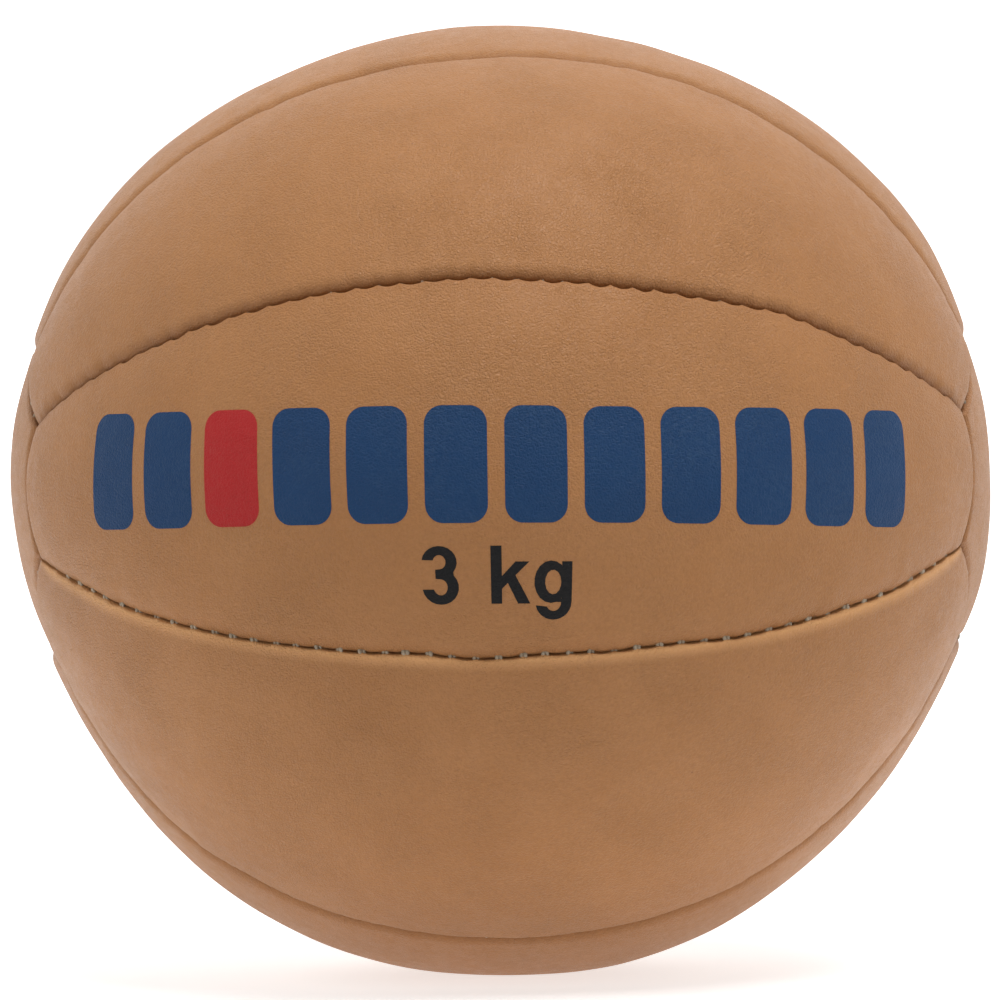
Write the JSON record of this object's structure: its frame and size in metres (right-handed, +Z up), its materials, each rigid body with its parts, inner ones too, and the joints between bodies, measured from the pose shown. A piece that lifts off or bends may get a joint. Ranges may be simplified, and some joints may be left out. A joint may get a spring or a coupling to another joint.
{
  "type": "medicine ball",
  "caption": "Round stuffed medicine ball sewn from long leather panels that run from pole to pole and meet an octagonal cap at each end",
  "frame": {"origin": "on the supporting surface, below the centre of the ball, in the middle of the patch it rests on", "axes": "+X along the pole axis from the left cap to the right cap, +Z up, front panel faces -Y"},
  "size_m": [0.25, 0.2431, 0.242],
  "materials": {
    "leather": "smooth tanned, soft sheen",
    "lining": "plain woven cotton",
    "thread": "waxed linen",
    "padding": "felted hair",
    "bag": "plain woven cotton",
    "stuffing": "packed textile waste"
  },
  "bodies": {
    "root": {"gore_panel_front": "leather", "gore_panel_upper_front": "leather", "gore_panel_top": "leather", "gore_panel_upper_back": "leather", "gore_panel_back": "leather", "gore_panel_lower_back": "leather", "gore_panel_bottom": "leather", "gore_panel_lower_front": "leather", "end_cap_left": "leather", "end_cap_right": "leather", "gore_lining_front": "lining", "gore_lining_upper_front": "lining", "gore_lining_top": "lining", "gore_lining_upper_back": "lining", "gore_lining_back": "lining", "gore_lining_lower_back": "lining", "gore_lining_bottom": "lining", "gore_lining_lower_front": "lining", "cap_lining_left": "lining", "cap_lining_right": "lining", "seam_thread_lower_front_to_front": "thread", "seam_thread_front_to_upper_front": "thread", "seam_thread_upper_front_to_top": "thread", "seam_thread_top_to_upper_back": "thread", "seam_thread_upper_back_to_back": "thread", "seam_thread_back_to_lower_back": "thread", "seam_thread_lower_back_to_bottom": "thread", "seam_thread_bottom_to_lower_front": "thread", "cap_seam_thread_left": "thread", "cap_seam_thread_right": "thread", "padding_left": "padding", "padding_right": "padding", "inner_bag": "bag", "stuffing": "stuffing"}
  },
  "joints": []
}
